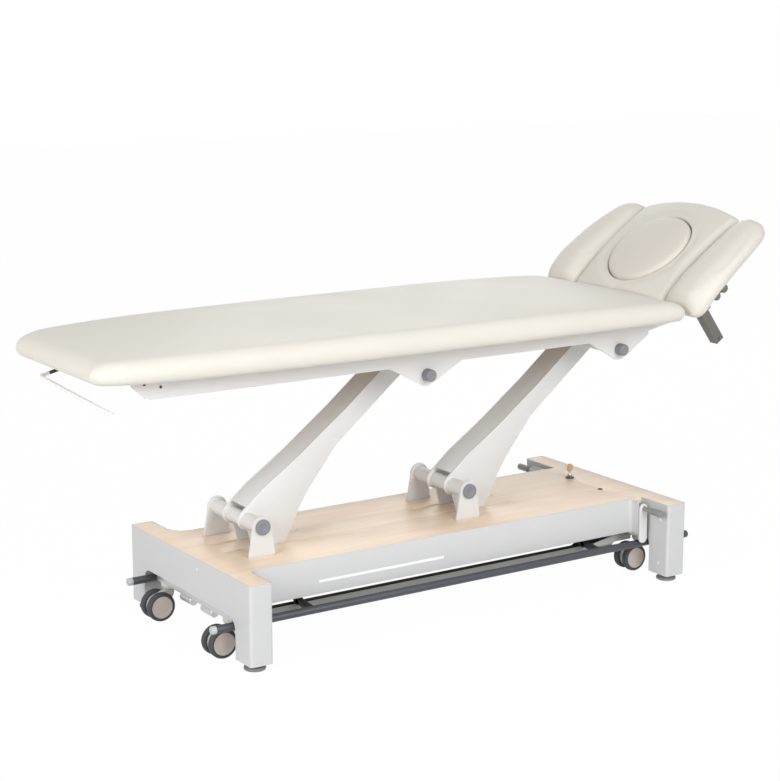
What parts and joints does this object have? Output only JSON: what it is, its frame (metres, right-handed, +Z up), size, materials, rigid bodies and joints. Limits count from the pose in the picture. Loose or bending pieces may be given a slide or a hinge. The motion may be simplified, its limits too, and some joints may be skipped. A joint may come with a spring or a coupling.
{
  "type": "electric examination couch",
  "caption": "Electric examination couch on a low base: padded top on parallel lift arms, tilting curved head section with side pads and face plug, foot bars and pedal-lowered castors.",
  "frame": {"origin": "on the floor, under the middle of the couch's length and width", "axes": "+X along the couch towards the head end, +Y towards the rear side of the picture, +Z up"},
  "size_m": [2.0128, 0.6654, 0.9783],
  "materials": {
    "cream_vinyl": "satin",
    "grey_paint": "satin",
    "light_grey_paint": "satin",
    "birch_deck": "satin",
    "cap_grey": "matte",
    "bar_dark_blue": "satin",
    "plug_light_grey": "matte",
    "tyre_grey": "matte",
    "castor_beige": "satin",
    "zinc_steel": "satin",
    "dark_steel": "satin",
    "post_dark": "satin",
    "knob_grey_green": "matte",
    "white_coat": "satin",
    "foot_grey": "matte",
    "plywood": "matte",
    "brass": "satin",
    "drive_black": "matte",
    "aluminium": "satin"
  },
  "bodies": {
    "base": {"end_frame_foot": "grey_paint", "end_frame_head": "grey_paint", "side_panel_front": "grey_paint", "side_panel_rear": "grey_paint", "deck_board": "birch_deck", "chassis_rail_front": "dark_steel", "chassis_rail_rear": "dark_steel", "chassis_cross": "dark_steel", "pivot_shaft_foot": "cap_grey", "pivot_shaft_head": "cap_grey", "levelling_foot_foot_front": "foot_grey", "levelling_foot_foot_rear": "foot_grey", "levelling_foot_head_front": "foot_grey", "levelling_foot_head_rear": "foot_grey", "control_box": "drive_black", "key_lock": "dark_steel", "drive_body": "drive_black"},
    "arm_foot": {"lift_arm_foot": "light_grey_paint"},
    "arm_head": {"lift_arm_head": "light_grey_paint"},
    "drive_rod": {"drive_rod": "aluminium"},
    "top_frame": {"side_rail_front": "light_grey_paint", "side_rail_rear": "light_grey_paint", "frame_cross_foot": "light_grey_paint", "frame_cross_head": "light_grey_paint", "upper_shaft_foot": "cap_grey", "upper_shaft_head": "cap_grey", "main_board": "plywood", "main_pad": "cream_vinyl", "paper_roll_holder": "white_coat"},
    "head_section": {"head_frame": "dark_steel", "head_pad": "cream_vinyl"},
    "face_plug": {"face_plug": "cream_vinyl"},
    "key": {"key": "brass"},
    "pedal": {"pedal_shaft": "zinc_steel"},
    "cam_foot": {"cam_shaft_foot": "zinc_steel"},
    "push_rod": {"castor_push_rod": "dark_steel"},
    "armrest_front": {"armrest_pad_front": "cream_vinyl", "armrest_post_front": "post_dark"},
    "knob_front_lower": {"clamp_knob_front_lower": "knob_grey_green"},
    "knob_front_upper": {"clamp_knob_front_upper": "knob_grey_green"},
    "foot_bar_front": {"foot_bar_front": "bar_dark_blue", "bar_plug_foot_front": "plug_light_grey", "bar_plug_head_front": "plug_light_grey"},
    "armrest_rear": {"armrest_pad_rear": "cream_vinyl", "armrest_post_rear": "post_dark"},
    "knob_rear_lower": {"clamp_knob_rear_lower": "knob_grey_green"},
    "knob_rear_upper": {"clamp_knob_rear_upper": "knob_grey_green"},
    "foot_bar_rear": {"foot_bar_rear": "bar_dark_blue", "bar_plug_foot_rear": "plug_light_grey", "bar_plug_head_rear": "plug_light_grey"},
    "castor_beam_foot": {"castor_beam_foot": "zinc_steel"},
    "castor_fork_foot_front": {"castor_fork_foot_front": "castor_beige"},
    "castor_wheels_foot_front": {"castor_wheels_foot_front": "tyre_grey"},
    "castor_fork_foot_rear": {"castor_fork_foot_rear": "castor_beige"},
    "castor_wheels_foot_rear": {"castor_wheels_foot_rear": "tyre_grey"},
    "castor_beam_head": {"castor_beam_head": "zinc_steel"},
    "castor_fork_head_front": {"castor_fork_head_front": "castor_beige"},
    "castor_wheels_head_front": {"castor_wheels_head_front": "tyre_grey"},
    "castor_fork_head_rear": {"castor_fork_head_rear": "castor_beige"},
    "castor_wheels_head_rear": {"castor_wheels_head_rear": "tyre_grey"}
  },
  "joints": [
    {"name": "lift", "type": "hinge", "parent": "base", "child": "arm_foot", "pos_m": [-0.5177, 0, 0.2908], "axis": [0, -1, 0], "range_deg": [-36, 25]},
    {"name": "arm_head_swing", "type": "hinge", "parent": "base", "child": "arm_head", "pos_m": [0.101, 0, 0.2908], "axis": [0, -1, 0], "range_deg": [-36, 25]},
    {"name": "top_level", "type": "hinge", "parent": "arm_foot", "child": "top_frame", "pos_m": [-0.09364, 0, 0.63789], "axis": [0, -1, 0], "range_deg": [-25, 36]},
    {"name": "drive_stroke", "type": "slide", "parent": "base", "child": "drive_rod", "axis": [1, 0, 0], "range_m": [-0.0881, 0.0612]},
    {"name": "head_tilt", "type": "hinge", "parent": "top_frame", "child": "head_section", "pos_m": [0.692, 0, 0.7], "axis": [0, -1, 0], "range_deg": [-66, 1]},
    {"name": "face_plug_lift", "type": "slide", "parent": "head_section", "child": "face_plug", "axis": [-0.5878, 0, 0.809], "range_m": [0, 0.1]},
    {"name": "armrest_raise_front", "type": "slide", "parent": "head_section", "child": "armrest_front", "axis": [-0.5878, 0, 0.809], "range_m": [0, 0.09]},
    {"name": "knob_turn_front_lower", "type": "hinge", "parent": "head_section", "child": "knob_front_lower", "pos_m": [0.83598, -0.226, 0.75702], "axis": [0, -1, 0], "range_deg": [0, 180]},
    {"name": "knob_turn_front_upper", "type": "hinge", "parent": "head_section", "child": "knob_front_upper", "pos_m": [0.86187, -0.226, 0.77583], "axis": [0, -1, 0], "range_deg": [0, 180]},
    {"name": "foot_bar_press_front", "type": "hinge", "parent": "base", "child": "foot_bar_front", "pos_m": [0.008, -0.115, 0.126], "axis": [1, 0, 0], "range_deg": [-2, 2], "stiffness_Nm_per_rad": 120, "springref_deg": -1.17},
    {"name": "armrest_raise_rear", "type": "slide", "parent": "head_section", "child": "armrest_rear", "axis": [-0.5878, 0, 0.809], "range_m": [0, 0.09]},
    {"name": "knob_turn_rear_lower", "type": "hinge", "parent": "head_section", "child": "knob_rear_lower", "pos_m": [0.83598, 0.226, 0.75702], "axis": [0, 1, 0], "range_deg": [0, 180]},
    {"name": "knob_turn_rear_upper", "type": "hinge", "parent": "head_section", "child": "knob_rear_upper", "pos_m": [0.86187, 0.226, 0.77583], "axis": [0, 1, 0], "range_deg": [0, 180]},
    {"name": "foot_bar_press_rear", "type": "hinge", "parent": "base", "child": "foot_bar_rear", "pos_m": [0.008, 0.115, 0.126], "axis": [-1, 0, 0], "range_deg": [-2, 2], "stiffness_Nm_per_rad": 120, "springref_deg": -1.17},
    {"name": "key_turn", "type": "hinge", "parent": "base", "child": "key", "pos_m": [0.585, 0.066, 0.217], "axis": [0, 0, 1], "range_deg": [0, 90]},
    {"name": "pedal_swing", "type": "hinge", "parent": "base", "child": "pedal", "pos_m": [0.5955, 0, 0.122], "axis": [0, -1, 0], "range_deg": [0, 60]},
    {"name": "cam_foot_swing", "type": "hinge", "parent": "base", "child": "cam_foot", "pos_m": [-0.5795, 0, 0.122], "axis": [0, -1, 0], "range_deg": [0, 60]},
    {"name": "push_rod_swing", "type": "hinge", "parent": "pedal", "child": "push_rod", "pos_m": [0.5805, 0, 0.09602], "axis": [0, -1, 0], "range_deg": [-60, 0]},
    {"name": "castor_drop_foot", "type": "slide", "parent": "base", "child": "castor_beam_foot", "axis": [0, 0, -1], "range_m": [0, 0.0141]},
    {"name": "castor_swivel_foot_front", "type": "hinge", "parent": "castor_beam_foot", "child": "castor_fork_foot_front", "pos_m": [-0.6335, -0.164, 0.098], "axis": [0, 0, 1], "continuous": true},
    {"name": "castor_roll_foot_front", "type": "hinge", "parent": "castor_fork_foot_front", "child": "castor_wheels_foot_front", "pos_m": [-0.6665, -0.164, 0.0415], "axis": [0, 1, 0], "continuous": true},
    {"name": "castor_swivel_foot_rear", "type": "hinge", "parent": "castor_beam_foot", "child": "castor_fork_foot_rear", "pos_m": [-0.6335, 0.164, 0.098], "axis": [0, 0, 1], "continuous": true},
    {"name": "castor_roll_foot_rear", "type": "hinge", "parent": "castor_fork_foot_rear", "child": "castor_wheels_foot_rear", "pos_m": [-0.6665, 0.164, 0.0415], "axis": [0, 1, 0], "continuous": true},
    {"name": "castor_drop_head", "type": "slide", "parent": "base", "child": "castor_beam_head", "axis": [0, 0, -1], "range_m": [0, 0.0141]},
    {"name": "castor_swivel_head_front", "type": "hinge", "parent": "castor_beam_head", "child": "castor_fork_head_front", "pos_m": [0.6495, -0.164, 0.098], "axis": [0, 0, 1], "continuous": true},
    {"name": "castor_roll_head_front", "type": "hinge", "parent": "castor_fork_head_front", "child": "castor_wheels_head_front", "pos_m": [0.6165, -0.164, 0.0415], "axis": [0, 1, 0], "continuous": true},
    {"name": "castor_swivel_head_rear", "type": "hinge", "parent": "castor_beam_head", "child": "castor_fork_head_rear", "pos_m": [0.6495, 0.164, 0.098], "axis": [0, 0, 1], "continuous": true},
    {"name": "castor_roll_head_rear", "type": "hinge", "parent": "castor_fork_head_rear", "child": "castor_wheels_head_rear", "pos_m": [0.6165, 0.164, 0.0415], "axis": [0, 1, 0], "continuous": true}
  ],
  "couplings": [
    {"joint": "arm_head_swing", "follows": "lift", "ratio": 1},
    {"joint": "top_level", "follows": "lift", "ratio": -1},
    {"joint": "drive_stroke", "follows": "lift", "m_per_rad": 0.14014},
    {"joint": "cam_foot_swing", "follows": "pedal_swing", "ratio": 1},
    {"joint": "push_rod_swing", "follows": "pedal_swing", "ratio": -1},
    {"joint": "castor_drop_foot", "follows": "pedal_swing", "m_per_rad": 0.013369},
    {"joint": "castor_drop_head", "follows": "pedal_swing", "m_per_rad": 0.013369}
  ]
}
